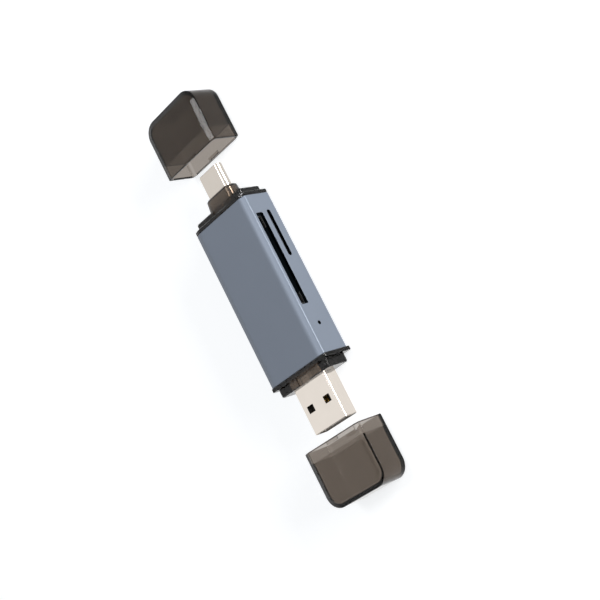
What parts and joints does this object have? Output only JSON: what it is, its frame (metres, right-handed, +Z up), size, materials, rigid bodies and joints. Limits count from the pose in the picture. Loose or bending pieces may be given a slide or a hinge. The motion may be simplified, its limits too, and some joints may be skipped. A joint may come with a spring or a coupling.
{
  "type": "usb memory card reader",
  "caption": "Pocket memory card reader with a USB-A plug and a USB-C plug at opposite ends, SD and microSD slots in one side, and a translucent pull-off cap for each plug.",
  "frame": {"origin": "middle of the sleeve's broad face that the reader lies on", "axes": "+X along the reader towards the USB-C plug, -Y out of the side with the card slots, +Z up out of the other broad face"},
  "size_m": [0.1104, 0.0214, 0.0096],
  "materials": {
    "sleeve_aluminium": "satin blue-grey anodised",
    "frame_smoke": "dark smoke, polished",
    "cap_smoke": "translucent smoke, polished",
    "plug_steel": "nickel-plated sheet",
    "socket_steel": "polished folded sheet",
    "plug_plastic": "moulded black",
    "tray_plastic": "moulded black",
    "contact_gold": "gold-plated",
    "board_green": "solder-masked laminate",
    "chip_black": "moulded resin",
    "crystal_steel": "drawn can",
    "lamp_clear": "clear resin",
    "capacitor_tan": "fired ceramic with tinned ends",
    "resistor_black": "glazed film with tinned ends"
  },
  "bodies": {
    "reader": {"housing_sleeve": "sleeve_aluminium", "usb_a_end_frame": "frame_smoke", "usb_c_end_frame": "frame_smoke", "circuit_board": "board_green", "usb_a_shell": "plug_steel", "usb_a_insulator": "plug_plastic", "usb_a_contacts": "contact_gold", "usb_c_shell": "plug_steel", "usb_c_insulator": "plug_plastic", "usb_c_upper_contacts": "contact_gold", "usb_c_lower_contacts": "contact_gold", "usb_c_latch_plate": "socket_steel", "sd_socket_base": "tray_plastic", "sd_socket_cover": "socket_steel", "sd_contacts": "contact_gold", "sd_detect_springs": "contact_gold", "microsd_socket_base": "tray_plastic", "microsd_socket_cover": "socket_steel", "microsd_contacts": "contact_gold", "controller_chip": "chip_black", "crystal": "crystal_steel", "voltage_regulator": "chip_black", "activity_led": "lamp_clear", "capacitors": "capacitor_tan", "resistors": "resistor_black"},
    "usb_a_cap": {"usb_a_cap": "cap_smoke"},
    "usb_c_cap": {"usb_c_cap": "cap_smoke"}
  },
  "joints": [
    {"name": "usb_a_cap_slide", "type": "slide", "parent": "reader", "child": "usb_a_cap", "axis": [-1, 0, 0], "range_m": [-0.01705, 0]},
    {"name": "usb_c_cap_slide", "type": "slide", "parent": "reader", "child": "usb_c_cap", "axis": [1, 0, 0], "range_m": [-0.01555, 0]}
  ]
}
